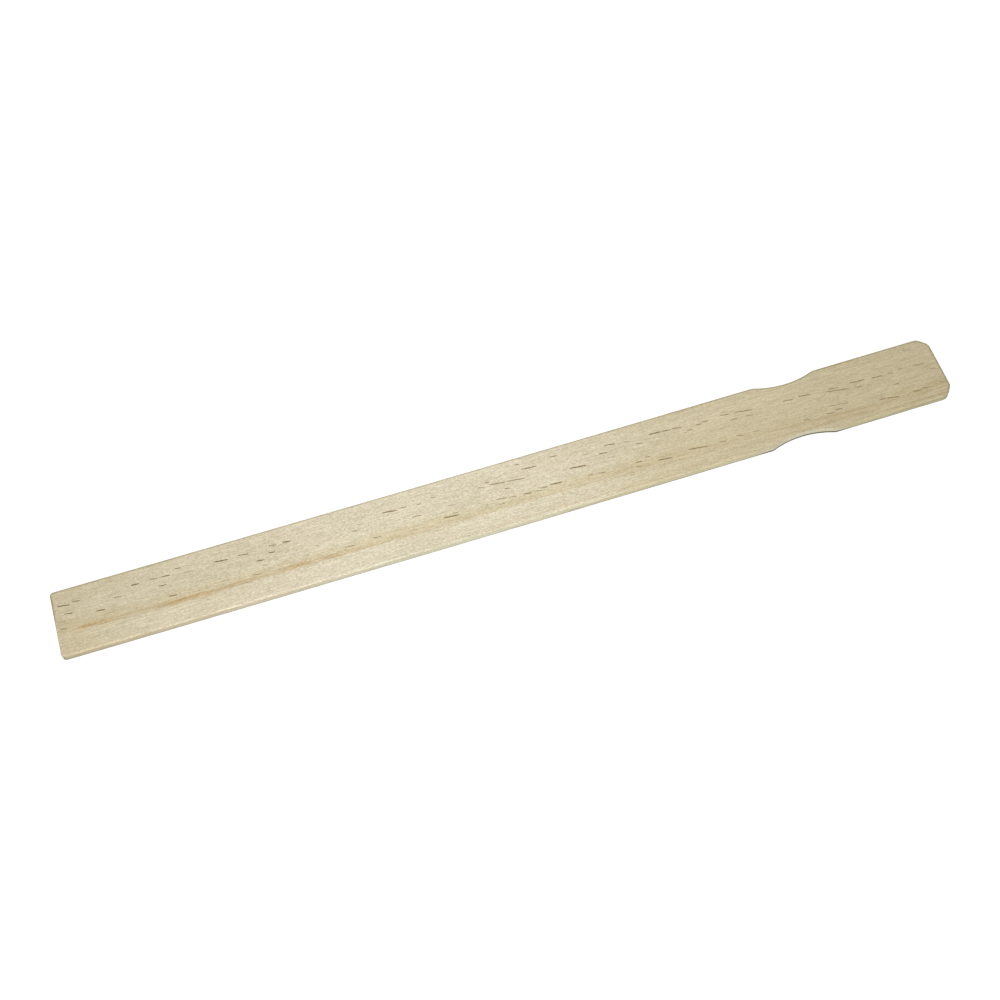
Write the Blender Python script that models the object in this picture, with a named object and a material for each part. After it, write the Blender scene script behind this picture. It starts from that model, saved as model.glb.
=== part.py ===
"""Flat wooden mixing and shaping paddle, sawn and sanded from one board of pine.

The stick lies flat on its underside. +X runs along its length from the square
blade end to the handle end, +Y runs across its width and +Z is up through its
thickness. The origin is the middle of its footprint, on the underside.

A side of the outline is a list of (x, inset) points from the blade end to the
handle end, where inset is how far the point lies inside the straight edge.
"""
import math

import bmesh
import bpy
from mathutils import Vector

# Driving dimensions, in metres
LENGTH = 0.5334
BLADE_END_WIDTH = 0.0417
HANDLE_END_WIDTH = 0.0419
THICKNESS = 0.0048
CROOK = 0.0007  # sideways bend of the board at mid length, towards -Y

# Square end of the blade
BLADE_CORNER_RADIUS = 0.0022

# Finger scallops between blade and handle
FAR_SCALLOP_X = 0.1753
NEAR_SCALLOP_X = 0.173
FAR_SCALLOP_DEPTH = 0.0034
NEAR_SCALLOP_DEPTH = 0.0036
SCALLOP_RADIUS = 0.054
SCALLOP_LIP_RADIUS = 0.007

# Clipped corners of the handle end: (length cut off the side, length cut off the end)
FAR_CLIP = (0.0058, 0.0052)
NEAR_CLIP = (0.0041, 0.006)
CLIP_BLEND_RADIUS = 0.0049

# Sanded arris around both flat faces
ARRIS_RADIUS = 0.00055
ARRIS_SEGMENTS = 3

# Spacing of the outline's points
BLADE_EDGE_STEPS = 14
HANDLE_EDGE_STEPS = 4
SCALLOP_STEPS = 16
LIP_STEPS = 3
CORNER_STEPS = 6
CLIP_BLEND_STEPS = 5

# Pale, dry, unfinished softwood
WOOD_COLOUR = (0.80, 0.71, 0.52, 1.0)
WOOD_ROUGHNESS = 0.62


def remove_existing_objects():
    for existing in list(bpy.data.objects):
        bpy.data.objects.remove(existing, do_unlink=True)


def arc(centre_x, centre_inset, radius, start, end, steps):
    """Points of a circular arc, with angles in radians from +X towards +inset."""
    points = []
    for step in range(steps + 1):
        angle = start + (end - start) * step / steps
        x = centre_x + radius * math.cos(angle)
        inset = centre_inset + radius * math.sin(angle)
        points.append((x, inset))
    return points


def straight_run(start_x, end_x, steps):
    """Points strictly between two places on the straight edge."""
    return [(start_x + (end_x - start_x) * step / steps, 0.0) for step in range(1, steps)]


def blade_corner():
    centre_x = -LENGTH / 2 + BLADE_CORNER_RADIUS
    return arc(centre_x, BLADE_CORNER_RADIUS, BLADE_CORNER_RADIUS, math.pi, 1.5 * math.pi, CORNER_STEPS)


def scallop(middle_x, depth):
    """A shallow circular bite whose two lips are rounded over."""
    reach = SCALLOP_RADIUS + SCALLOP_LIP_RADIUS
    half_span = math.sqrt(depth * (2 * reach - depth))
    half_angle = math.asin(half_span / reach)
    down = 1.5 * math.pi
    first_lip = arc(middle_x - half_span, SCALLOP_LIP_RADIUS, SCALLOP_LIP_RADIUS,
                    down, down + half_angle, LIP_STEPS)
    bite = arc(middle_x, depth - SCALLOP_RADIUS, SCALLOP_RADIUS,
               math.pi / 2 + half_angle, math.pi / 2 - half_angle, SCALLOP_STEPS)
    second_lip = arc(middle_x + half_span, SCALLOP_LIP_RADIUS, SCALLOP_LIP_RADIUS,
                     down - half_angle, down, LIP_STEPS)
    return first_lip[:-1] + bite + second_lip[1:]


def handle_corner(clip):
    """A corner cut off at a slant, with both ends of the cut blended."""
    side_leg, end_leg = clip
    slant = math.atan2(end_leg, side_leg)
    rest = math.pi / 2 - slant
    down = 1.5 * math.pi
    side_tangent = CLIP_BLEND_RADIUS * math.tan(slant / 2)
    end_tangent = CLIP_BLEND_RADIUS * math.tan(rest / 2)
    side_blend = arc(LENGTH / 2 - side_leg - side_tangent, CLIP_BLEND_RADIUS, CLIP_BLEND_RADIUS,
                     down, down + slant, CLIP_BLEND_STEPS)
    end_blend = arc(LENGTH / 2 - CLIP_BLEND_RADIUS, end_leg + end_tangent, CLIP_BLEND_RADIUS,
                    down + slant, down + slant + rest, CLIP_BLEND_STEPS)
    return side_blend + end_blend


def side_profile(scallop_x, scallop_depth, clip):
    """One side of the outline, as (x, inset) from blade end to handle end."""
    first = blade_corner()
    middle = scallop(scallop_x, scallop_depth)
    last = handle_corner(clip)
    blade_run = straight_run(first[-1][0], middle[0][0], BLADE_EDGE_STEPS)
    handle_run = straight_run(middle[-1][0], last[0][0], HANDLE_EDGE_STEPS)
    return first + blade_run + middle + handle_run + last


def half_width(x):
    """The board widens slightly from the blade end to the handle end."""
    along = x / LENGTH + 0.5
    return 0.5 * (BLADE_END_WIDTH + (HANDLE_END_WIDTH - BLADE_END_WIDTH) * along)


def crook_shift(x):
    """The natural sideways bend, nothing at the ends and most at mid length."""
    return CROOK * ((2 * x / LENGTH) ** 2 - 1)


def outline():
    """The whole outline, counter-clockwise seen from above, centred across its width."""
    near_side = side_profile(NEAR_SCALLOP_X, NEAR_SCALLOP_DEPTH, NEAR_CLIP)
    far_side = side_profile(FAR_SCALLOP_X, FAR_SCALLOP_DEPTH, FAR_CLIP)
    near = [(x, inset - half_width(x) + crook_shift(x)) for x, inset in near_side]
    far = [(x, half_width(x) - inset + crook_shift(x)) for x, inset in far_side]
    points = near + far[::-1]
    lowest = min(y for x, y in points)
    highest = max(y for x, y in points)
    middle = (lowest + highest) / 2
    return [(x, y - middle) for x, y in points]


def wood_material():
    material = bpy.data.materials.new("wood")
    material.use_nodes = True
    shader = material.node_tree.nodes["Principled BSDF"]
    shader.inputs["Base Color"].default_value = WOOD_COLOUR
    shader.inputs["Roughness"].default_value = WOOD_ROUGHNESS
    shader.inputs["Metallic"].default_value = 0.0
    return material


def inward_directions(points):
    """For each corner of a closed outline, the inward step that moves both its sides in by 1."""
    directions = []
    for index, here in enumerate(points):
        here = Vector(here)
        before = (here - Vector(points[index - 1])).normalized()
        after = (Vector(points[(index + 1) % len(points)]) - here).normalized()
        inward = Vector((-before.y, before.x)) + Vector((-after.y, after.x))
        inward.normalize()
        directions.append(inward / inward.dot(Vector((-after.y, after.x))))
    return directions


def level_rings():
    """(inset, height) of each ring of points, from the underside up round both arrises."""
    lower = []
    for step in range(ARRIS_SEGMENTS + 1):
        angle = math.pi / 2 * step / ARRIS_SEGMENTS
        lower.append((ARRIS_RADIUS * (1 - math.sin(angle)), ARRIS_RADIUS * (1 - math.cos(angle))))
    upper = [(inset, THICKNESS - height) for inset, height in reversed(lower)]
    return lower + upper


def paddle_mesh():
    """The outline raised through the board's thickness, with both flat faces' edges eased."""
    points = outline()
    inward = inward_directions(points)
    shape = bmesh.new()
    rings = []
    for inset, height in level_rings():
        ring = []
        for point, direction in zip(points, inward):
            place = Vector(point) + inset * direction
            ring.append(shape.verts.new((place.x, place.y, height)))
        rings.append(ring)
    count = len(points)
    for below, above in zip(rings, rings[1:]):
        for index in range(count):
            after = (index + 1) % count
            shape.faces.new((below[index], below[after], above[after], above[index]))
    shape.faces.new(rings[0][::-1])
    shape.faces.new(rings[-1])
    mesh = bpy.data.meshes.new("paddle")
    shape.to_mesh(mesh)
    shape.free()
    return mesh


def add_paddle():
    mesh = paddle_mesh()
    mesh.materials.append(wood_material())
    mesh.shade_smooth()
    mesh.set_sharp_from_angle(angle=math.radians(35))
    paddle = bpy.data.objects.new("paddle", mesh)
    bpy.context.scene.collection.objects.link(paddle)


remove_existing_objects()
add_paddle()
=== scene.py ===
"""Looks of the pine paddle: a finely cut board that stands for the CAD solid.

Lengths inside the script are millimetres in the part's own frame, and are
turned into metres only when a mesh, a lamp or the camera is made.
"""
import math
import random

import bmesh
import bpy
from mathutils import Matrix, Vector, geometry, noise


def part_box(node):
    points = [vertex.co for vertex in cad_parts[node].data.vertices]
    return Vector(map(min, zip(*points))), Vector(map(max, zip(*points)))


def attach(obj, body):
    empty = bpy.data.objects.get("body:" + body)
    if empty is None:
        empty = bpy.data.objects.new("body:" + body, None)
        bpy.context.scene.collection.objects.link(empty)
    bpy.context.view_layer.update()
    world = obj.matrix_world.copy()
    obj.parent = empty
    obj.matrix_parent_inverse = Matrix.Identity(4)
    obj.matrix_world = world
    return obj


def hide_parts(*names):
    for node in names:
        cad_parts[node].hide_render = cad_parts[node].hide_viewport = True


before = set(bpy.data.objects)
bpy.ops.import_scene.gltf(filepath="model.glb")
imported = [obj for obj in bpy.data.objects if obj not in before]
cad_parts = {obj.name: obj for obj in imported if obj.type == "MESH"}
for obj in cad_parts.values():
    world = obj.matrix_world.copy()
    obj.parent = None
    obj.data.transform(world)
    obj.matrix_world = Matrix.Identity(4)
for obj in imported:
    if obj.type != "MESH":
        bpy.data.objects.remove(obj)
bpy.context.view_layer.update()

MM = 0.001
LOW, HIGH = (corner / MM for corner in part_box("paddle"))
LENGTH = HIGH.x - LOW.x
THICKNESS = HIGH.z - LOW.z

# Camera, matched to the photograph's view of the stick
CAMERA_PLACE = (-105.4, -453.5, 825.7)
CAMERA_TURN_DEG = (29.181, 2.782, -17.244)
CAMERA_LENS = 59.05
SENSOR = 36.0

# Studio: (name, place, target, size of the panel, watts) of each softbox
SOFTBOXES = (
    ("back_softbox", (0, 338, 600), (-15, 0, 0), (300, 300), 2.5),
    ("front_softbox", (110, -700, 170), (50, 0, 0), (250, 160), 2.85),
    ("edge_softbox", (-220, -490, 460), (-140, 0, 0), (160, 100), 1.65),
)
WORLD_STRENGTH = 0.22

# The table lies just clear of the underside, so that the two flat faces never coincide
TABLE_GAP = 0.02
TABLE_HALF_SIZE = 20000.0
TABLE_GREY = 0.3
TABLE_ROUGHNESS = 0.8
TABLE_SPECULAR = 0.1
TABLE_GLOW = 0.88

# Sanded arris round both flat faces: its radius, and how that wanders, ripples and is nicked
ARRIS = 0.55
ARRIS_STEPS = 5
WANDER, WANDER_LENGTH = 0.14, (23.0, 9.0)
RIPPLE, RIPPLE_LENGTH = 0.05, (3.1, 3.1)
NICK, NICK_LENGTH = 0.9, (7.0, 7.0)
NICK_RARITY = 0.45
EDGE_TONE_REACH = 0.9

# Relief of the sawn ends and of the planed sides, with its (along, up) feature length
SAWN, SAWN_LENGTH = 0.035, (0.9, 6.0)
PLANED, PLANED_LENGTH = 0.02, (14.0, 1.3)
END_MARGIN = 0.5

# Spacing of the mesh
LONG_SPACING = 2.5
END_SPACING = 0.8
END_REACH = 5.0
SIDE_LEVELS = 4
FACE_GRID = 5.0
GRID_CLEARANCE = 1.0
STRAIGHT = 1e-5

# Resin canals cut open by the saw: (left end x, y, length, darkness) on the top face
RESIN_TOP = (
    (-263.6, 10.9, 6.7, 0.8), (-255.0, 11.5, 3.9, 0.6), (-260.5, 5.1, 4.2, 0.7),
    (-264.4, 1.0, 3.0, 0.4), (-242.8, 1.3, 4.5, 0.8), (-264.0, -3.4, 2.6, 0.5),
    (-232.0, 6.4, 4.0, 0.6), (-221.0, 11.0, 3.9, 1.0), (-210.5, 11.2, 4.4, 0.5),
    (-203.3, 10.7, 4.4, 0.7), (-206.0, 5.4, 3.7, 0.8), (-202.0, -2.7, 4.2, 0.8),
    (-195.3, 13.3, 2.9, 0.7), (-192.0, 9.2, 6.7, 0.3), (-173.3, 10.1, 7.6, 0.9),
    (-159.0, 9.8, 5.4, 0.6), (-150.0, 3.1, 4.3, 0.9), (-146.7, -0.7, 1.7, 0.7),
    (-140.9, 10.3, 3.7, 0.7), (-142.2, 6.0, 3.5, 0.7), (-132.8, 10.0, 3.9, 0.9),
    (-173.0, -3.0, 6.5, 0.3), (-116.0, 2.0, 1.6, 0.4), (-123.0, -2.2, 2.0, 0.3),
    (-154.4, -4.9, 5.0, 0.4), (-93.3, 4.0, 2.2, 0.6), (-99.4, -4.6, 5.0, 0.6),
    (-73.9, 9.9, 8.3, 0.9), (-62.8, 9.9, 3.0, 0.6), (-53.3, 9.2, 1.4, 0.7),
    (-44.2, 10.7, 2.0, 0.6), (-58.0, 2.0, 4.5, 0.7), (-36.7, 2.4, 4.5, 0.4),
    (-82.8, -4.0, 4.1, 0.6), (-41.7, -4.6, 9.7, 0.9), (-35.6, -3.0, 2.5, 0.5),
    (-12.2, 10.2, 2.0, 0.8), (-17.2, 8.1, 3.3, 0.5), (-10.5, 7.6, 9.5, 0.6),
    (-0.5, 6.5, 11.4, 0.5), (-2.2, 2.7, 2.2, 0.7), (7.8, 16.0, 2.0, 0.8),
    (10.5, 11.7, 9.0, 0.7), (28.3, 14.4, 4.2, 0.6), (-9.0, -2.7, 5.1, 0.4),
    (-0.2, -3.8, 2.2, 0.5), (7.2, -4.3, 3.7, 0.9), (13.9, -4.7, 3.0, 0.6),
    (17.2, -3.6, 3.7, 0.6), (23.1, -3.2, 6.7, 0.9), (37.2, 3.1, 9.4, 0.9),
    (46.1, -4.3, 2.2, 0.7), (52.2, -5.1, 3.3, 0.7), (47.5, 9.6, 3.0, 0.4),
    (56.4, 7.1, 4.4, 0.8), (61.1, 11.4, 5.8, 0.8), (72.8, 9.9, 3.0, 0.4),
    (78.9, 6.5, 3.5, 0.6), (60.6, 3.1, 3.6, 0.4), (55.8, 1.5, 2.5, 0.3),
    (75.0, -5.1, 2.8, 0.9), (81.1, -3.6, 2.2, 0.6), (74.4, -8.0, 2.3, 0.5),
    (87.2, -8.1, 8.3, 0.8), (-8.3, -6.2, 2.8, 0.5), (88.0, 10.2, 7.0, 0.9),
    (96.0, 9.7, 5.2, 0.7), (102.0, 9.4, 5.4, 0.8), (116.4, 7.6, 2.7, 0.9),
    (120.6, 8.3, 3.0, 0.9), (110.3, 5.6, 2.5, 0.8), (108.0, 4.7, 2.0, 0.4),
    (132.8, 10.7, 3.9, 0.3), (132.0, 8.8, 4.7, 0.6), (140.6, 7.7, 10.0, 0.8),
    (137.2, 4.2, 2.6, 0.8), (146.0, 3.8, 4.0, 0.6), (106.0, -7.3, 11.8, 0.9),
    (125.3, -8.0, 3.6, 0.6), (135.8, -7.4, 4.0, 0.7), (146.0, -7.6, 3.0, 0.6),
    (170.0, 6.2, 6.0, 0.8), (179.8, 6.3, 6.7, 0.9), (176.7, -10.0, 3.5, 0.6),
    (180.0, -3.0, 1.7, 0.4), (190.6, -10.2, 5.0, 0.8), (197.2, -9.1, 3.4, 0.9),
    (192.8, -6.0, 13.0, 0.5), (198.3, 5.3, 5.9, 0.6), (196.7, 3.3, 13.0, 0.8),
    (211.7, 5.3, 9.0, 0.9), (214.2, 1.4, 3.4, 0.6), (225.3, 4.4, 5.8, 0.9),
    (235.6, 4.3, 2.8, 0.7), (242.8, 5.0, 2.2, 0.6), (251.7, 4.6, 6.3, 0.6),
    (250.0, 16.6, 5.0, 0.3), (260.0, -0.7, 3.3, 0.6), (236.0, -3.8, 2.8, 0.8),
    (223.9, -11.0, 3.6, 0.8), (228.2, -11.8, 7.0, 0.9), (244.7, -12.0, 4.3, 0.9),
    (250.0, -11.8, 3.6, 0.7), (261.5, -10.9, 2.6, 0.6),
)

# Shape of each canal: its tilt across the fibres, its half width, which is less where it is pale,
# the depth of its groove, the stations along it, its slim tips, its faded ends and its waver
RESIN_TILT = -0.11
RESIN_TILT_SPREAD = 0.05
RESIN_HALF_WIDTH = 0.48
RESIN_WIDTH_SPREAD = (0.75, 1.2)
RESIN_PALE_WIDTH = 0.75
RESIN_DARK_WIDTH = 0.35
RESIN_DEPTH = 0.07
RESIN_STATION = 1.3
RESIN_TIP = 0.1
RESIN_FADE = 0.6
RESIN_WAVER = 0.07
TOP_SEED = 21

# Rows of canals on the unseen underside, at these y, each drawn by chance
UNDERSIDE_ROWS = (13.0, 8.5, 2.0, -4.5, -13.5)
UNDERSIDE_DRIFT = 5.0
UNDERSIDE_SCATTER = 0.8
UNDERSIDE_START = (3, 20)
UNDERSIDE_LENGTHS = (1.8, 8.5)
UNDERSIDE_DARKNESS = (0.35, 1.0)
UNDERSIDE_GAP = 3.0
UNDERSIDE_MEAN_EXTRA_GAP = 17.0
UNDERSIDE_STOP = 14
UNDERSIDE_SEED = 5

# The main growth line on the top face, as (x, y) points along the board
GROWTH_LINE = (
    (-267.0, -6.6), (-230.0, -7.5), (-180.0, -8.5), (-100.0, -8.6), (-40.0, -9.2), (50.0, -9.8),
    (110.0, -11.0), (150.0, -12.2), (180.0, -13.4), (210.0, -14.4), (267.0, -14.8),
)

# The most that the line may lie from y = 0, the rings' slant through the board in mm per mm, and how
# far across the faint second line lies from the main one
GROWTH_SPAN = 20.0
RING_TILT = 0.8
SECOND_LINE_GAP = 9.6

# Bands of the figure beside a growth line, in mm from it: (starts, full from, full to, ends)
LATEWOOD_BAND = (-0.3, 0.5, 1.4, 3.7)
HAIRLINE_BAND = (-0.3, 0.1, 0.5, 1.1)
SECOND_LINE_BAND = (-0.35, 0.1, 0.3, 1.6)
TAN_BAND = (-0.7, 2.2, 4.0, 9.5)

# How strongly each part of the figure shows, as (x, strength) points along the board
LATEWOOD_STRENGTH = (
    (-267, 0.25), (-260, 0.35), (-253, 0.7), (-246, 0.95), (-238, 0.8), (-230, 0.3), (-214, 0.3),
    (-204, 0.85), (-188, 0.95), (-181, 0.95), (-174, 0.5), (-166, 0.75), (-158, 0.75), (-150, 0.4),
    (-143, 0.4), (-134, 0.75), (-126, 0.85), (-118, 0.55), (-110, 0.55), (-95, 0.3), (-70, 0.22), (-40, 0.2),
    (0, 0.14), (60, 0.14), (120, 0.12), (190, 0.12), (267, 0.16),
)
HAIRLINE_STRENGTH = (
    (-267, 0.0), (-125, 0.0), (-105, 0.45), (-80, 0.4), (-50, 0.25), (20, 0.28), (50, 0.15), (80, 0.0),
    (267, 0.0),
)
SECOND_LINE_STRENGTH = ((-267, 0), (-30, 0), (10, 0.25), (60, 0.35), (90, 0.25), (120, 0.05), (267, 0.0))
TAN_STRENGTH = (
    (-267, 0.45), (-200, 0.55), (-120, 0.6), (-60, 0.95), (20, 0.92), (70, 0.85), (110, 0.55), (150, 0.25),
    (210, 0.1), (240, 0.5), (267, 0.6),
)
PALE_STRENGTH = (
    (-267, 0.4), (-215, 1.0), (-170, 1.0), (-130, 0.6), (-5, 0.45), (30, 0.95), (70, 0.85), (105, 0.05),
    (267, 0.0),
)
STREAK_STRENGTH = (
    (-267, 0.3), (-100, 0.25), (60, 0.3), (140, 0.45), (200, 0.8), (240, 1.0), (267, 1.0),
)
# painted sheen: strongest from x -90 to 0 mm, where the overhead softbox's broad reflection lies
SHEEN_STRENGTH = (
    (-267, 0.0), (-200, 0.2), (-140, 0.45), (-90, 0.9), (-50, 1.0), (0, 0.9), (40, 0.5), (80, 0.25),
    (120, 0.05), (267, 0.0),
)
AGED_STRENGTH = (
    (-267, 0.7), (-230, 0.48), (-180, 0.27), (-120, 0.0), (20, 0.0), (70, 0.45), (120, 0.7), (267, 0.9),
)
# painted highlight on the near top arris, strongest towards the blade end
NEAR_ARRIS_HIGHLIGHT_STRENGTH = ((-267, 1.0), (-120, 1.0), (-65, 0.2), (0, 0.1), (50, 0.0), (267, 0.0))
# painted light on the near side, strongest towards the handle
NEAR_SIDE_LIGHT_STRENGTH = ((-267, 0.0), (-150, 0.05), (-60, 0.7), (100, 0.75), (160, 1.0), (267, 1.0))
LOW_SHADE_STRENGTH = (
    (-267, 0.5), (-200, 0.35), (-60, 0.3), (0, 0.35), (60, 0.4), (90, 0.7), (267, 0.75),
)

# Sizes of the wood's patterns: along the fibres, across the rings and through the board
BEND_SIZE = (38, 9, 9)
FLAME_SIZE = (8, 2.0, 2.5)
FIBRE_SIZE = (12, 0.5, 0.5)
SPECKLE_SIZE = (1.25, 0.45, 0.5)
STRAND_SIZE = (13, 0.6, 0.9)
PATCH_SIZE = (34, 1.5, 2.0)
STREAK_SIZE = (95, 1.1, 1.6)
CLOUD_SIZE = (42, 7, 6)
WARM_SIZE = (70, 16, 10)
DASH_SIZE = (11, 1.7, 1.7)
DASH_GROUP_SIZE = (24, 4, 4)
PORE_SIZE = (3.0, 0.4, 0.4)
SAW_MARK_SIZE = (0.5, 9.0, 0.32)

# How far the rings bend and flicker across the board, in mm
BEND = 0.7
FLAME = 0.6

# Noise levels between which a pattern goes from nothing to full
STRAND_RANGE = (-0.25, 0.25)
PATCH_RANGE = (-0.45, 0.3)
STREAK_RANGE = (-0.05, 0.35)
WARM_RANGE = (-0.5, 0.6)
DASH_GROUP_RANGE = (0.0, 0.35)
PORE_RANGE = (-0.3, 0.4)

# Roughness of the noise itself, where it isn't the usual 0.5
STREAK_ROUGHNESS = 0.55
PORE_ROUGHNESS = 0.7

# Where the figure changes over beside the growth line, in mm from it
PALE_EDGE = (-1.6, -0.2)
STREAK_EDGE = (0.0, 8.0)
LOWER_EDGE = (-3.0, 6.0)

# How much of a band, streak or tint is there where its own pattern is absent, out of 1
LATEWOOD_FLOOR = 0.3
TAN_FLOOR, TAN_PATCHES = 0.45, 0.85
STREAK_FLOOR = 0.12
SIDE_FLOOR = 0.35
END_FLOOR = 0.55

# Specks: how far they reach, in cells, how much of that is their solid core, and their strength
DASH_REACH = 0.17
SPECK_CORE = 0.4
DASH_STRENGTH = 0.6

# A face belongs to the board's ends when it looks this squarely along the board
END_FACING = (0.6, 0.9)

# Where tints and the painted light and shade change over, in mm: heights, then places across and along the
# board
SIDE_TOP = (THICKNESS - 0.9, THICKNESS - 0.3)
# the height where the painted highlight on the near top arris begins
NEAR_ARRIS_HIGHLIGHT_BOTTOM = (THICKNESS - 1.0, THICKNESS - 0.5)
LOW_SHADE_TOP = (0.8, 1.5)
# the height of the painted shadow under the near scallop
SCALLOP_SHADOW_TOP = (1.1, 2.2)
FAR_HALF = (-2.0, 8.0)
HANDLE_END = (260.0, 266.0)
# the near scallop's span along the board, where its painted light, shade and shadow lie
SCALLOP_START = (140.0, 152.0)
SCALLOP_END = (190.0, 204.0)
FADED_RESIN = (60.0, 150.0)

# How a canal's darkness becomes cover by resin, the most cover, and its loss towards the handle
RESIN_GAIN = 2.0
RESIN_COVER = 0.97
RESIN_LOSS = 0.25

# Linear colours, and the ratios by which each part of the figure changes them
PINE = (0.69, 0.607, 0.439)
RESIN = (0.2, 0.116, 0.034)
TAN_RATIO = (0.953, 0.918, 0.815)
AGED_RATIO = (0.925, 0.91, 0.805)
LOWER_RATIO = (0.975, 0.96, 0.935)
WARM_RATIO = (0.985, 0.97, 0.94)
PALE_RATIO = (1.06, 1.075, 1.105)
# painted sheen: a paler, whiter tone where the overhead softbox's reflection lies
SHEEN_RATIO = (1.014, 1.042, 1.045)
STREAK_RATIO = (0.83, 0.75, 0.62)
LATEWOOD_RATIO = (0.83, 0.655, 0.42)
DASH_RATIO = (0.62, 0.52, 0.42)
# The next seven ratios paint light and shade at the edges: shade on the far and end rims, cool light on the
# near side, a highlight on the near top arris, shadow along the bottom edge, cool light on the scallop's
# side, shade on its arris and shadow under it
FAR_RIM_SHADE_RATIO = (0.71, 0.68, 0.55)
NEAR_SIDE_LIGHT_RATIO = (1.0, 1.078, 1.075)
NEAR_ARRIS_HIGHLIGHT_RATIO = (1.14, 1.14, 1.17)
BOTTOM_SHADOW_RATIO = (0.2, 0.215, 0.215)
SCALLOP_SIDE_LIGHT_RATIO = (1.1, 1.13, 1.28)
SCALLOP_ARRIS_SHADE_RATIO = (0.9, 0.93, 1.02)
SCALLOP_SHADOW_RATIO = (0.2, 0.2, 0.18)
END_RATIO = (0.84, 0.76, 0.64)

# How far the fibre and speckle lighten and darken red, green and blue
LIGHT_SHARES = (0.97, 1.04, 1.33)
FIBRE_LIGHT = 0.3
SPECKLE_LIGHT = 0.5
AGED_SPECKLE_LIGHT = -0.2
CLOUD_LIGHT = 0.1

# Roughness of the bare wood, and what each part of the figure adds to it
ROUGHNESS = 0.62
FIBRE_ROUGHNESS = 0.05
SPECKLE_ROUGHNESS = 0.04
LATEWOOD_ROUGHNESS = -0.06
RESIN_ROUGHNESS = 0.08
RIM_ROUGHNESS = -0.22
END_ROUGHNESS = 0.2

# Height of the fine relief, in mm
FIBRE_RELIEF = 0.022
SPECKLE_RELIEF = 0.012
LATEWOOD_RELIEF = 0.014
SAW_MARK_RELIEF = 0.05

# Steps that take each seed's noise to its own place, in mm
GRAIN_STEP = (311.0, 17.3, 29.1)
SPECK_STEP = (97.0, 13.7, 21.3)


# ---------------------------------------------------------------- outline

def cad_outline(node):
    """The CAD board's plan outline, counter-clockwise, from a cut at mid thickness."""
    shape = bmesh.new()
    shape.from_mesh(node.data)
    bmesh.ops.remove_doubles(shape, verts=shape.verts, dist=1e-6)
    everything = list(shape.verts) + list(shape.edges) + list(shape.faces)
    middle = (LOW + HIGH) / 2 * MM
    cut = bmesh.ops.bisect_plane(shape, geom=everything, dist=1e-7, plane_co=middle, plane_no=(0, 0, 1))
    edges = {item for item in cut["geom_cut"] if isinstance(item, bmesh.types.BMEdge)}
    here = next(iter(edges)).verts[0]
    first = here
    points = []
    while edges:
        points.append(here.co.to_2d() / MM)
        edge = next(link for link in here.link_edges if link in edges)
        edges.remove(edge)
        here = edge.other_vert(here)
        if here is first:
            break
    shape.free()
    area = sum(a.cross(b) for a, b in zip(points, points[1:] + points[:1]))
    return points if area > 0 else points[::-1]


def on_line(before, here, after):
    return abs((here - before).normalized().cross((after - here).normalized())) < STRAIGHT


def refined(points):
    """The same outline, its straight runs cut into even steps, finer along the two ends."""
    count = len(points)
    corners = [p for i, p in enumerate(points) if not on_line(points[i - 1], p, points[(i + 1) % count])]
    result = []
    for here, after in zip(corners, corners[1:] + corners[:1]):
        near_end = min(abs(here.x), abs(after.x)) > LENGTH / 2 - END_REACH
        spacing = END_SPACING if near_end else LONG_SPACING
        steps = max(1, math.ceil((after - here).length / spacing))
        result += [here.lerp(after, step / steps) for step in range(steps)]
    return result


def inward_directions(points):
    """For each point of a closed outline, the inward step that moves both its sides in by 1."""
    directions = []
    for index, here in enumerate(points):
        before = (here - points[index - 1]).normalized()
        after = (points[(index + 1) % len(points)] - here).normalized()
        normal = Vector((-after.y, after.x))
        inward = (Vector((-before.y, before.x)) + normal).normalized()
        directions.append(inward / inward.dot(normal))
    return directions


# ---------------------------------------------------------------- resin canals

class Canal:
    """One opened resin canal: a slim lens-shaped groove along the grain."""

    def __init__(self, left, y, length, darkness, tilt, chance):
        self.darkness = darkness
        self.stations = []
        count = max(3, round(length / RESIN_STATION))
        for index in range(count + 1):
            along = index / count
            if 0 < index < count:
                along = RESIN_TIP + (1 - 2 * RESIN_TIP) * (index - 1) / (count - 2)
            swell = math.sqrt(max(0.0, 1 - (2 * along - 1) ** 4))
            drift = (along - 0.5) * length * tilt
            waver = chance.uniform(-RESIN_WAVER, RESIN_WAVER) if 0 < index < count else 0.0
            place = Vector((left + along * length, y + drift + waver))
            width = RESIN_HALF_WIDTH * swell * (RESIN_PALE_WIDTH + RESIN_DARK_WIDTH * darkness)
            width *= chance.uniform(*RESIN_WIDTH_SPREAD)
            self.stations.append((place, width, swell))

    def reaches(self, place):
        first, last = self.stations[0][0], self.stations[-1][0]
        beside = abs(place.y - (first.y + last.y) / 2) < GRID_CLEARANCE + abs(first.y - last.y) / 2
        return beside and first.x - GRID_CLEARANCE < place.x < last.x + GRID_CLEARANCE


def top_canals():
    chance = random.Random(TOP_SEED)
    canals = []
    for x, y, length, darkness in RESIN_TOP:
        tilt = RESIN_TILT + chance.uniform(-RESIN_TILT_SPREAD, RESIN_TILT_SPREAD)
        canals.append(Canal(x - RESIN_FADE, y, length + 2 * RESIN_FADE, darkness, tilt, chance))
    return canals


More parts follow.
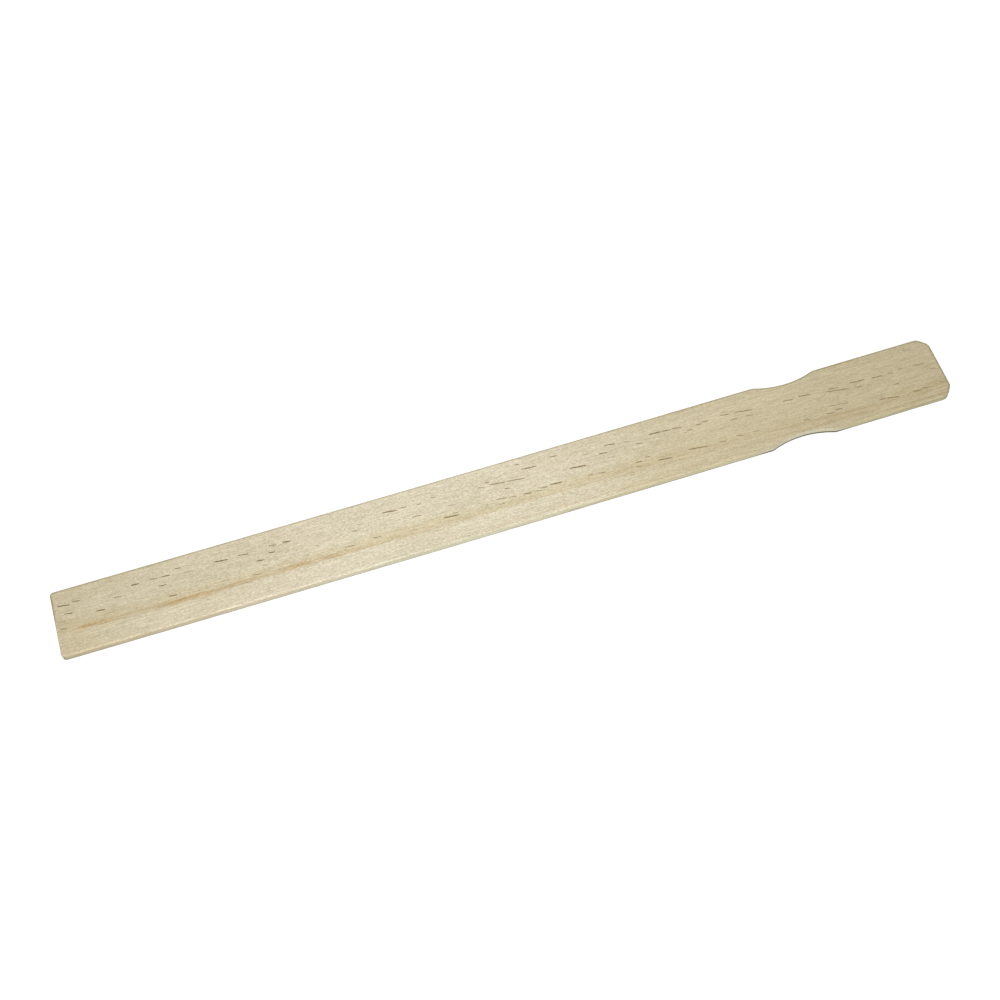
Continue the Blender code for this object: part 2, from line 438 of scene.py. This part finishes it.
def underside_canals():
    """Canals of the unseen face, in the same kind of rows, placed by a seeded draw."""
    chance = random.Random(UNDERSIDE_SEED)
    canals = []
    for row in UNDERSIDE_ROWS:
        x = LOW.x + chance.uniform(*UNDERSIDE_START)
        while x < HIGH.x - UNDERSIDE_STOP:
            length = chance.uniform(*UNDERSIDE_LENGTHS)
            y = row - UNDERSIDE_DRIFT * max(0.0, x / LENGTH) + chance.gauss(0, UNDERSIDE_SCATTER)
            canals.append(Canal(x, y, length, chance.uniform(*UNDERSIDE_DARKNESS), RESIN_TILT, chance))
            x += length + chance.expovariate(1 / UNDERSIDE_MEAN_EXTRA_GAP) + UNDERSIDE_GAP
    return canals


# ---------------------------------------------------------------- board mesh

def rough(along, up, length, seed):
    """Noise between -1 and 1 whose features have this (along, up) length in mm."""
    return noise.noise(Vector((along / length[0], up / length[1], seed)))


def arris_radius(point):
    """The sanding is even but made by hand: the radius wanders, with a few small nicks."""
    wander = WANDER * rough(point.x, point.y, WANDER_LENGTH, seed=3.1)
    ripple = RIPPLE * rough(point.x, point.y, RIPPLE_LENGTH, seed=8.7)
    nick = NICK * max(0.0, rough(point.x, point.y, NICK_LENGTH, seed=15.2) - NICK_RARITY)
    return ARRIS + wander + ripple + nick


def side_relief(point, height):
    """How far the sawn end or the planed side lies inside its true line."""
    if abs(point.x) > LENGTH / 2 - END_MARGIN:
        return SAWN * (1 + rough(point.y, height, SAWN_LENGTH, seed=2.0 + math.copysign(3, point.x)))
    return PLANED * (1 + rough(point.x, height, PLANED_LENGTH, seed=5.0 + math.copysign(3, point.y)))


def ring_table(radius):
    """(inset, height) up the board's side, for an arris of this radius."""
    lower = []
    for step in range(ARRIS_STEPS + 1):
        angle = math.pi / 2 * step / ARRIS_STEPS
        lower.append((radius * (1 - math.sin(angle)), radius * (1 - math.cos(angle))))
    upper = [(inset, THICKNESS - height) for inset, height in reversed(lower)]
    bottom, top = lower[-1][1], upper[0][1]
    middle = [(None, bottom + (top - bottom) * level / SIDE_LEVELS) for level in range(1, SIDE_LEVELS)]
    return lower + middle + upper


def add_side(shape, tone, points, inward):
    """The rings of the side and both arrises. Returns the underside's and the top's edge rings."""
    columns = []
    for point, direction in zip(points, inward):
        column = []
        for inset, height in ring_table(arris_radius(point)):
            if inset is None:
                inset = side_relief(point, height)
            place = point + inset * direction
            vert = shape.verts.new((place.x * MM, place.y * MM, height * MM))
            vert[tone] = 1.0
            column.append(vert)
        columns.append(column)
    for column, after in zip(columns, columns[1:] + columns[:1]):
        for level in range(len(column) - 1):
            shape.faces.new((column[level], after[level], after[level + 1], column[level + 1]))
    return [column[0] for column in columns], [column[-1] for column in columns]


def inside(point, ring):
    """Whether a point is inside a closed ring, by counting crossings."""
    result = False
    for a, b in zip(ring, ring[1:] + ring[:1]):
        if (a.y > point.y) != (b.y > point.y):
            if point.x < a.x + (point.y - a.y) * (b.x - a.x) / (b.y - a.y):
                result = not result
    return result


def face_grid(inner, canals):
    """Evenly staggered points inside the inner ring, clear of the canals."""
    points = []
    row = 0
    y = LOW.y
    while y < HIGH.y:
        x = LOW.x + (row % 2) * FACE_GRID / 2
        while x < HIGH.x:
            place = Vector((x, y))
            if inside(place, inner) and not any(canal.reaches(place) for canal in canals):
                if min((place - other).length for other in inner) > GRID_CLEARANCE:
                    points.append(place)
            x += FACE_GRID
        y += FACE_GRID * math.sqrt(3) / 2
        row += 1
    return points


def add_face(shape, resin, ring, inner, canals, height, sign):
    """One flat face, triangulated between its edge ring and its canals' grooves.

    The sign is 1 for the top and -1 for the underside.
    """
    coords = [vert.co.to_2d() / MM for vert in ring]
    depths = {}
    darks = {}
    edges = [(i, (i + 1) % len(ring)) for i in range(len(ring))]
    start = len(coords)
    coords += inner
    edges += [(start + i, start + (i + 1) % len(inner)) for i in range(len(inner))]
    for canal in canals:
        first = len(coords)
        coords.append(canal.stations[0][0])
        coords.append(canal.stations[-1][0])
        left, right, bottom = [first], [first], [first]
        for place, width, swell in canal.stations[1:-1]:
            for side, chain in ((1, left), (-1, right), (0, bottom)):
                chain.append(len(coords))
                coords.append(place + Vector((0, side * width)))
            depths[len(coords) - 1] = RESIN_DEPTH * swell
            darks[len(coords) - 1] = canal.darkness
        for chain in (left, right, bottom):
            chain.append(first + 1)
            edges += list(zip(chain, chain[1:]))
    coords += face_grid(inner, canals)
    outline = [list(range(len(ring)))]
    places, _, triangles, origins_of_places = geometry.delaunay_2d_cdt(coords, edges, outline, 1, 1e-5)[:4]
    verts = []
    for place, origins in zip(places, origins_of_places):
        ring_id = next((i for i in origins if i < len(ring)), None)
        if ring_id is not None:
            verts.append(ring[ring_id])
            continue
        depth = max((depths.get(i, 0.0) for i in origins), default=0.0)
        vert = shape.verts.new((place.x * MM, place.y * MM, (height - sign * depth) * MM))
        vert[resin] = max((darks.get(i, 0.0) for i in origins), default=0.0)
        verts.append(vert)
    for triangle in triangles:
        corners = [verts[i] for i in triangle]
        shape.faces.new(corners if sign > 0 else corners[::-1])


def board_mesh():
    points = refined(cad_outline(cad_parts["paddle"]))
    inward = inward_directions(points)
    shape = bmesh.new()
    tone = shape.verts.layers.float.new("edge_tone")
    resin = shape.verts.layers.float.new("resin")
    lower, upper = add_side(shape, tone, points, inward)
    inner = [point + (ARRIS + EDGE_TONE_REACH) * step for point, step in zip(points, inward)]
    add_face(shape, resin, upper, inner, top_canals(), THICKNESS, 1)
    add_face(shape, resin, lower, inner, underside_canals(), 0.0, -1)
    for edge in shape.edges:
        grooved = [any(vert[resin] > 0 for vert in face.verts) for face in edge.link_faces]
        edge.smooth = len(set(grooved)) < 2
    for face in shape.faces:
        face.smooth = True
    mesh = bpy.data.meshes.new("paddle_board")
    shape.to_mesh(mesh)
    shape.free()
    return mesh


# ---------------------------------------------------------------- materials

class Graph:
    """Builds a material's nodes: each call adds one node and returns its output."""

    def __init__(self, name):
        self.material = bpy.data.materials.new(name)
        self.material.use_nodes = True
        self.tree = self.material.node_tree
        self.shader = self.tree.nodes["Principled BSDF"]

    def node(self, kind, **settings):
        node = self.tree.nodes.new(kind)
        for name, setting in settings.items():
            setattr(node, name, setting)
        return node

    def feed(self, socket, source):
        if isinstance(source, bpy.types.NodeSocket):
            self.tree.links.new(source, socket)
        else:
            socket.default_value = source

    def math(self, operation, *sources):
        node = self.node("ShaderNodeMath", operation=operation)
        for socket, source in zip(node.inputs, sources):
            self.feed(socket, source)
        return node.outputs[0]

    def add(self, first, *others):
        for other in others:
            first = self.math("ADD", first, other)
        return first

    def times(self, first, *others):
        for other in others:
            first = self.math("MULTIPLY", first, other)
        return first

    def rest_of(self, value):
        return self.math("SUBTRACT", 1.0, value)

    def above_floor(self, floor, value):
        """The value (0 to 1) brought into the span from the floor to 1."""
        return self.add(floor, self.times(value, 1 - floor))

    def weighted(self, base, *terms):
        """The base plus each (source, weight) term."""
        return self.add(base, *(self.times(source, weight) for source, weight in terms))

    def vector(self, operation, *sources):
        node = self.node("ShaderNodeVectorMath", operation=operation)
        for socket, source in zip(node.inputs, sources):
            self.feed(socket, source)
        return node.outputs[0]

    def split(self, vector):
        node = self.node("ShaderNodeSeparateXYZ")
        self.feed(node.inputs[0], vector)
        return node.outputs[:3]

    def joined(self, x, y, z):
        node = self.node("ShaderNodeCombineXYZ")
        for socket, source in zip(node.inputs, (x, y, z)):
            self.feed(socket, source)
        return node.outputs[0]

    def rise(self, value, start, end):
        """0 below start, 1 above end, smooth between."""
        node = self.node("ShaderNodeMapRange", interpolation_type="SMOOTHSTEP")
        self.feed(node.inputs["Value"], value)
        node.inputs["From Min"].default_value = start
        node.inputs["From Max"].default_value = end
        return node.outputs[0]

    def fall(self, value, start, end):
        """1 below start, 0 above end, smooth between."""
        return self.rest_of(self.rise(value, start, end))

    def band(self, value, limits):
        """1 in the band's middle, fading out at both sides of it."""
        starts, full_from, full_to, ends = limits
        return self.times(self.rise(value, starts, full_from), self.fall(value, full_to, ends))

    def along_board(self, x, points, span=1.0):
        """A smooth curve through (x in mm, value) points, its values between 0 and span."""
        node = self.node("ShaderNodeFloatCurve")
        curve = node.mapping.curves[0]
        while len(curve.points) < len(points):
            curve.points.new(len(curve.points) / 100, 0.5)
        for knot, (place, value) in zip(curve.points, points):
            knot.location = ((place - LOW.x) / LENGTH, value / span)
        node.mapping.update()
        self.feed(node.inputs["Value"], self.times(self.math("SUBTRACT", x, LOW.x), 1 / LENGTH))
        return self.times(node.outputs[0], span)

    def grain(self, place, size, seed, detail=2.0, roughness=0.5):
        """Noise between about -1 and 1 whose features have this (x, y, z) size in mm."""
        node = self.node("ShaderNodeTexNoise")
        shifted = self.vector("ADD", place, [seed * step for step in GRAIN_STEP])
        self.feed(node.inputs["Vector"], self.vector("DIVIDE", shifted, size))
        node.inputs["Scale"].default_value = 1.0
        node.inputs["Detail"].default_value = detail
        node.inputs["Roughness"].default_value = roughness
        return self.times(self.math("SUBTRACT", node.outputs[0], 0.5), 2.0)

    def specks(self, place, size, reach, seed):
        """Scattered lens-shaped specks, one in each cell of this size in mm."""
        node = self.node("ShaderNodeTexVoronoi")
        shifted = self.vector("ADD", place, [seed * step for step in SPECK_STEP])
        self.feed(node.inputs["Vector"], self.vector("DIVIDE", shifted, size))
        node.inputs["Scale"].default_value = 1.0
        return self.fall(node.outputs["Distance"], reach * SPECK_CORE, reach)

    def mixed(self, blend_type, colour, other, factor):
        node = self.node("ShaderNodeMix", data_type="RGBA", blend_type=blend_type)
        self.feed(node.inputs["Factor"], factor)
        self.feed(node.inputs["A"], colour)
        self.feed(node.inputs["B"], (*other, 1.0))
        return node.outputs["Result"]

    def tint(self, colour, ratio, factor):
        """The colour times this ratio, as far as the factor (0 to 1) says."""
        return self.mixed("MULTIPLY", colour, ratio, factor)

    def blend(self, colour, other, factor):
        return self.mixed("MIX", colour, other, factor)

    def attribute(self, name):
        return self.node("ShaderNodeAttribute", attribute_name=name).outputs["Fac"]


class Board:
    """The coordinates and masks that the pine's colour, roughness and relief all share."""

    def __init__(self, g):
        coordinates = g.node("ShaderNodeTexCoord")
        self.place = g.vector("MULTIPLY", coordinates.outputs["Object"], (1 / MM, 1 / MM, 1 / MM))
        self.x, self.y, self.z = g.split(self.place)
        line = g.along_board(self.x, [(x, -y) for x, y in GROWTH_LINE], GROWTH_SPAN)
        depth = g.times(g.math("SUBTRACT", THICKNESS, self.z), RING_TILT)
        straight = g.add(self.y, line, depth)
        # grain: position measured along the fibres, across the rings, and through the board
        self.grain = g.joined(self.x, straight, self.z)
        bend = g.times(g.grain(self.grain, BEND_SIZE, seed=1), BEND)
        flame = g.times(g.grain(self.grain, FLAME_SIZE, seed=2), FLAME)
        # ring: distance in mm from the main growth line
        self.ring = g.add(straight, bend, flame)
        normal = g.split(coordinates.outputs["Normal"])
        self.end = g.rise(g.math("ABSOLUTE", normal[0]), *END_FACING)
        self.fibre = g.grain(self.grain, FIBRE_SIZE, seed=3)
        self.speckle = g.grain(self.grain, SPECKLE_SIZE, seed=4, detail=1.0)
        self.resin = g.attribute("resin")
        self.rim = g.attribute("edge_tone")


def latewood(g, board):
    """Strength of the dense orange wood of the growth lines."""
    strands = g.rise(g.grain(board.grain, STRAND_SIZE, seed=5, detail=1.0), *STRAND_RANGE)
    core = g.times(g.band(board.ring, LATEWOOD_BAND), g.add(LATEWOOD_FLOOR, strands),
                   g.along_board(board.x, LATEWOOD_STRENGTH))
    hairline = g.times(g.band(board.ring, HAIRLINE_BAND), g.along_board(board.x, HAIRLINE_STRENGTH))
    second = g.times(g.band(g.add(board.ring, SECOND_LINE_GAP), SECOND_LINE_BAND),
                     g.along_board(board.x, SECOND_LINE_STRENGTH))
    return g.add(core, hairline, second)


def figure(g, board, late):
    """Colour of the sawn face: the growth rings' bands, streaks, fibre and speckle, with a painted sheen
    over the middle of the board.
    """
    patches = g.rise(g.grain(board.grain, PATCH_SIZE, seed=13), *PATCH_RANGE)
    tan = g.times(g.band(board.ring, TAN_BAND), g.along_board(board.x, TAN_STRENGTH),
                  g.add(TAN_FLOOR, g.times(patches, TAN_PATCHES)))
    pale = g.times(g.fall(board.ring, *PALE_EDGE), g.along_board(board.x, PALE_STRENGTH),
                   g.rest_of(board.rim))
    near_line = g.fall(board.ring, *STREAK_EDGE)
    streak_noise = g.grain(board.grain, STREAK_SIZE, seed=6, roughness=STREAK_ROUGHNESS)
    streaks = g.times(g.rise(streak_noise, *STREAK_RANGE), g.above_floor(STREAK_FLOOR, near_line))
    warm = g.rise(g.grain(board.place, WARM_SIZE, seed=8), *WARM_RANGE)
    dash_groups = g.rise(g.grain(board.grain, DASH_GROUP_SIZE, seed=10, detail=1.0), *DASH_GROUP_RANGE)
    dashes = g.times(g.specks(board.grain, DASH_SIZE, DASH_REACH, seed=9), dash_groups)
    aged = g.along_board(board.x, AGED_STRENGTH)

    colour = g.tint((*PINE, 1.0), TAN_RATIO, g.math("MINIMUM", tan, 1.0))
    colour = g.tint(colour, AGED_RATIO, aged)
    colour = g.tint(colour, LOWER_RATIO, g.times(g.fall(board.ring, *LOWER_EDGE), aged))
    colour = g.tint(colour, WARM_RATIO, warm)
    colour = g.tint(colour, PALE_RATIO, pale)
    # painted sheen over the middle of the board
    colour = g.tint(colour, SHEEN_RATIO, g.along_board(board.x, SHEEN_STRENGTH))
    colour = g.tint(colour, STREAK_RATIO, g.times(streaks, g.along_board(board.x, STREAK_STRENGTH)))
    colour = g.tint(colour, LATEWOOD_RATIO, late)
    colour = g.tint(colour, DASH_RATIO, g.times(dashes, DASH_STRENGTH))

    speckle = g.times(board.speckle, g.add(SPECKLE_LIGHT, g.times(aged, AGED_SPECKLE_LIGHT)))
    cloud = g.grain(board.grain, CLOUD_SIZE, seed=7, detail=3.0)
    light = g.add(g.times(board.fibre, FIBRE_LIGHT), speckle, g.times(cloud, CLOUD_LIGHT))
    shares = g.joined(*(g.add(1.0, g.times(light, share)) for share in LIGHT_SHARES))
    return g.vector("MULTIPLY", colour, shares)


def edge_painted_light(g, board, colour):
    """Painted light and shade round the edges: shade on the far and end rims, light on the near side, a
    highlight on the near top arris, shadow along the bottom edge, and light, shade and shadow on the near
    scallop.
    """
    away = g.math("MAXIMUM", g.rise(board.y, *FAR_HALF), g.rise(board.x, *HANDLE_END))
    near = g.times(board.rim, g.rest_of(away))
    side = g.fall(board.z, *SIDE_TOP)
    scallop_span = g.times(g.rise(board.x, *SCALLOP_START), g.fall(board.x, *SCALLOP_END))
    scallop = g.times(near, scallop_span)

    # painted shade on the far side and the handle end, and on a band of the faces beside them, where the
    # arris turns away from the lamps
    colour = g.tint(colour, FAR_RIM_SHADE_RATIO, g.times(board.rim, away))
    # painted cool light on the near side
    colour = g.tint(colour, NEAR_SIDE_LIGHT_RATIO, g.times(near, g.along_board(board.x, NEAR_SIDE_LIGHT_STRENGTH),
                                                g.above_floor(SIDE_FLOOR, side)))
    # painted highlight on the near top arris
    colour = g.tint(colour, NEAR_ARRIS_HIGHLIGHT_RATIO, g.times(near, g.rise(board.z, *NEAR_ARRIS_HIGHLIGHT_BOTTOM),
                                                  g.along_board(board.x, NEAR_ARRIS_HIGHLIGHT_STRENGTH)))
    # painted shadow along the whole bottom edge, where the board meets the table
    colour = g.tint(colour, BOTTOM_SHADOW_RATIO, g.times(board.rim, g.fall(board.z, *LOW_SHADE_TOP),
                                               g.along_board(board.x, LOW_SHADE_STRENGTH)))
    # painted cool light on the side of the near scallop
    colour = g.tint(colour, SCALLOP_SIDE_LIGHT_RATIO, g.times(scallop, side))
    # painted shade on the near scallop's top arris
    colour = g.tint(colour, SCALLOP_ARRIS_SHADE_RATIO, g.times(scallop, g.rest_of(side)))
    # painted shadow along the bottom of the near scallop
    return g.tint(colour, SCALLOP_SHADOW_RATIO, g.times(scallop, g.fall(board.z, *SCALLOP_SHADOW_TOP)))


def pine_colour(g, board, late):
    colour = edge_painted_light(g, board, figure(g, board, late))
    pores = g.rise(g.grain(board.place, PORE_SIZE, seed=11, roughness=PORE_ROUGHNESS), *PORE_RANGE)
    colour = g.tint(colour, END_RATIO, g.times(board.end, g.above_floor(END_FLOOR, pores)))
    faded = g.rise(board.x, *FADED_RESIN)
    cover = g.add(RESIN_COVER, g.times(faded, -RESIN_LOSS))
    return g.blend(colour, RESIN, g.times(g.math("MINIMUM", g.times(board.resin, RESIN_GAIN), 1.0), cover))


def pine_material():
    g = Graph("pine")
    board = Board(g)
    late = latewood(g, board)
    shader = g.shader
    g.feed(shader.inputs["Base Color"], pine_colour(g, board, late))
    roughness = g.weighted(ROUGHNESS, (board.fibre, FIBRE_ROUGHNESS), (board.speckle, SPECKLE_ROUGHNESS),
                           (late, LATEWOOD_ROUGHNESS), (board.resin, RESIN_ROUGHNESS),
                           (board.rim, RIM_ROUGHNESS), (board.end, END_ROUGHNESS))
    g.feed(shader.inputs["Roughness"], roughness)
    saw_marks = g.times(g.grain(board.place, SAW_MARK_SIZE, seed=12, detail=1.0), board.end)
    relief = g.add(g.times(board.fibre, FIBRE_RELIEF), g.times(board.speckle, SPECKLE_RELIEF),
                   g.times(late, LATEWOOD_RELIEF), g.times(saw_marks, SAW_MARK_RELIEF))
    bump = g.node("ShaderNodeBump")
    g.feed(bump.inputs["Height"], relief)
    bump.inputs["Distance"].default_value = MM
    g.feed(shader.inputs["Normal"], bump.outputs[0])
    return g.material


def table_material():
    """White table that glows, so that it stays evenly white all round the stick."""
    material = bpy.data.materials.new("white_table")
    material.use_nodes = True
    shader = material.node_tree.nodes["Principled BSDF"]
    shader.inputs["Base Color"].default_value = (TABLE_GREY, TABLE_GREY, TABLE_GREY, 1)
    shader.inputs["Roughness"].default_value = TABLE_ROUGHNESS
    shader.inputs["Specular IOR Level"].default_value = TABLE_SPECULAR
    shader.inputs["Emission Color"].default_value = (1, 1, 1, 1)
    shader.inputs["Emission Strength"].default_value = TABLE_GLOW
    return material


# ---------------------------------------------------------------- stage

def add_board():
    mesh = board_mesh()
    mesh.materials.append(pine_material())
    board = bpy.data.objects.new("paddle_board", mesh)
    bpy.context.scene.collection.objects.link(board)
    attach(board, "root")
    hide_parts("paddle")


def add_table():
    half = TABLE_HALF_SIZE * MM
    level = -TABLE_GAP * MM
    mesh = bpy.data.meshes.new("table")
    corners = [(-half, -half, level), (half, -half, level), (half, half, level), (-half, half, level)]
    mesh.from_pydata(corners, [], [(0, 1, 2, 3)])
    mesh.materials.append(table_material())
    table = bpy.data.objects.new("table", mesh)
    bpy.context.scene.collection.objects.link(table)
    table.visible_diffuse = False
    table.visible_glossy = False


def add_softbox(name, place, target, size, power):
    light = bpy.data.lights.new(name, "AREA")
    light.shape = "RECTANGLE"
    light.size, light.size_y = (side * MM for side in size)
    light.energy = power
    lamp = bpy.data.objects.new(name, light)
    lamp.location = Vector(place) * MM
    lamp.rotation_euler = (Vector(target) - Vector(place)).to_track_quat("-Z", "Y").to_euler()
    bpy.context.scene.collection.objects.link(lamp)


def add_world():
    """Soft even light from all round, itself seen as plain white beyond the table."""
    world = bpy.data.worlds.new("studio")
    world.use_nodes = True
    tree = world.node_tree
    background = tree.nodes["Background"]
    background.inputs["Color"].default_value = (1, 1, 1, 1)
    path = tree.nodes.new("ShaderNodeLightPath")
    seen = tree.nodes.new("ShaderNodeMapRange")
    seen.inputs["To Min"].default_value = WORLD_STRENGTH
    seen.inputs["To Max"].default_value = 1.0
    tree.links.new(path.outputs["Is Camera Ray"], seen.inputs["Value"])
    tree.links.new(seen.outputs[0], background.inputs["Strength"])
    bpy.context.scene.world = world


def add_camera():
    data = bpy.data.cameras.new("camera")
    data.lens = CAMERA_LENS
    data.sensor_width = SENSOR
    camera = bpy.data.objects.new("camera", data)
    camera.location = Vector(CAMERA_PLACE) * MM
    camera.rotation_euler = [math.radians(angle) for angle in CAMERA_TURN_DEG]
    bpy.context.scene.collection.objects.link(camera)
    bpy.context.scene.camera = camera


add_board()
add_table()
add_world()
for softbox in SOFTBOXES:
    add_softbox(*softbox)
add_camera()
bpy.context.scene.view_settings.view_transform = "Standard"
